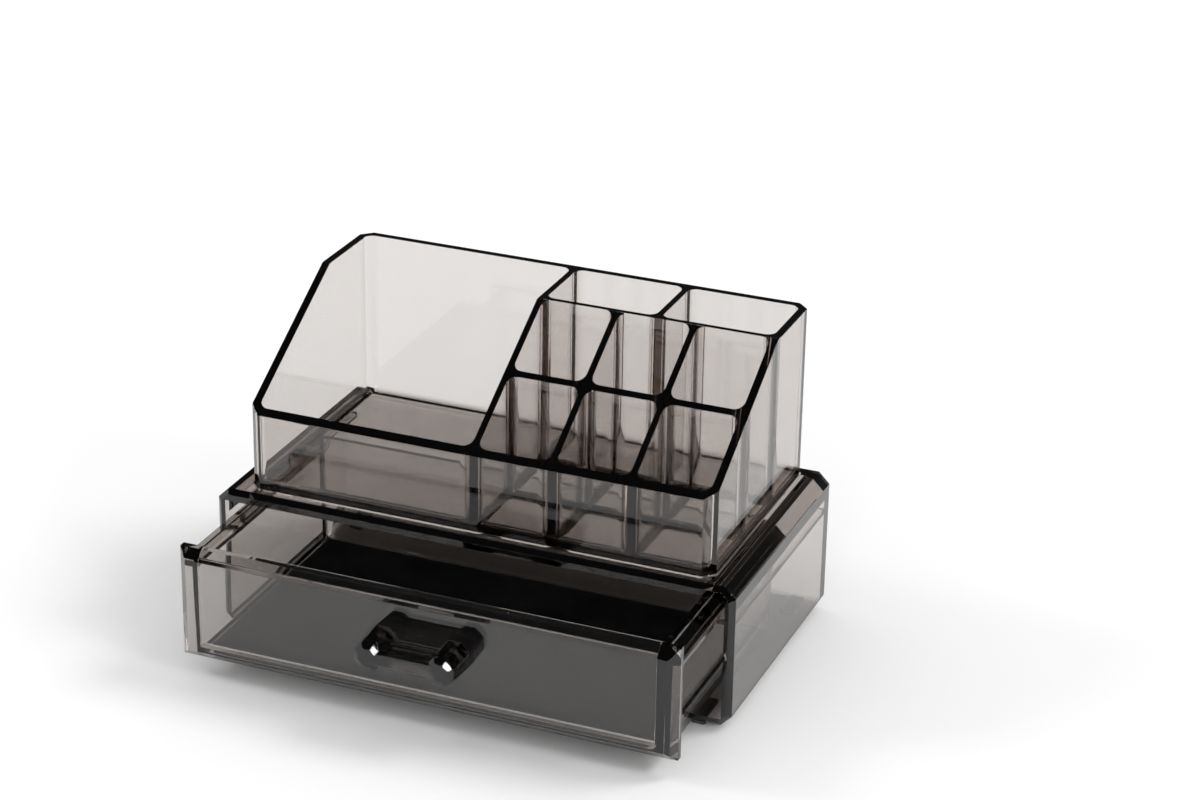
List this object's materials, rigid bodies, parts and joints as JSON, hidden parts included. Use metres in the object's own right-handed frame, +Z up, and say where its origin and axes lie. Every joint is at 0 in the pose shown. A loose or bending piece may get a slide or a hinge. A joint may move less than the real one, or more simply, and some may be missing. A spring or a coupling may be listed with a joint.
{
  "type": "makeup organizer",
  "caption": "Smoky clear plastic vanity organizer: an open tray of stepped compartments standing on a low cabinet with a pull-out drawer.",
  "frame": {"origin": "on the surface it stands on, under the middle of the whole object as stored, with its drawer 32 mm open", "axes": "+X to the right as one faces the drawer, +Y from the drawer's front to the cabinet's back, +Z up"},
  "size_m": [0.175, 0.1372, 0.1059],
  "materials": {
    "smoky_plastic": "polished, transparent, smoky grey",
    "handle_plastic": "polished, transparent, deep smoky grey",
    "foot_rubber": "matt",
    "pad_board": "matt foamed board",
    "black_velvet": "short-pile black velvet"
  },
  "bodies": {
    "cabinet": {"cabinet_shell": "smoky_plastic", "cabinet_feet": "foot_rubber"},
    "tray": {"organizer_tray": "smoky_plastic"},
    "drawer": {"drawer_tray": "smoky_plastic", "drawer_front": "smoky_plastic", "drawer_handle": "handle_plastic", "pad_board": "pad_board", "pad_velvet": "black_velvet"}
  },
  "joints": [
    {"name": "drawer_slide", "type": "slide", "parent": "cabinet", "child": "drawer", "axis": [0, -1, 0], "range_m": [-0.032, 0.038]},
    {"name": "tray_lift", "type": "slide", "parent": "cabinet", "child": "tray", "axis": [0, 0, 1], "range_m": [0, 0.06]}
  ]
}
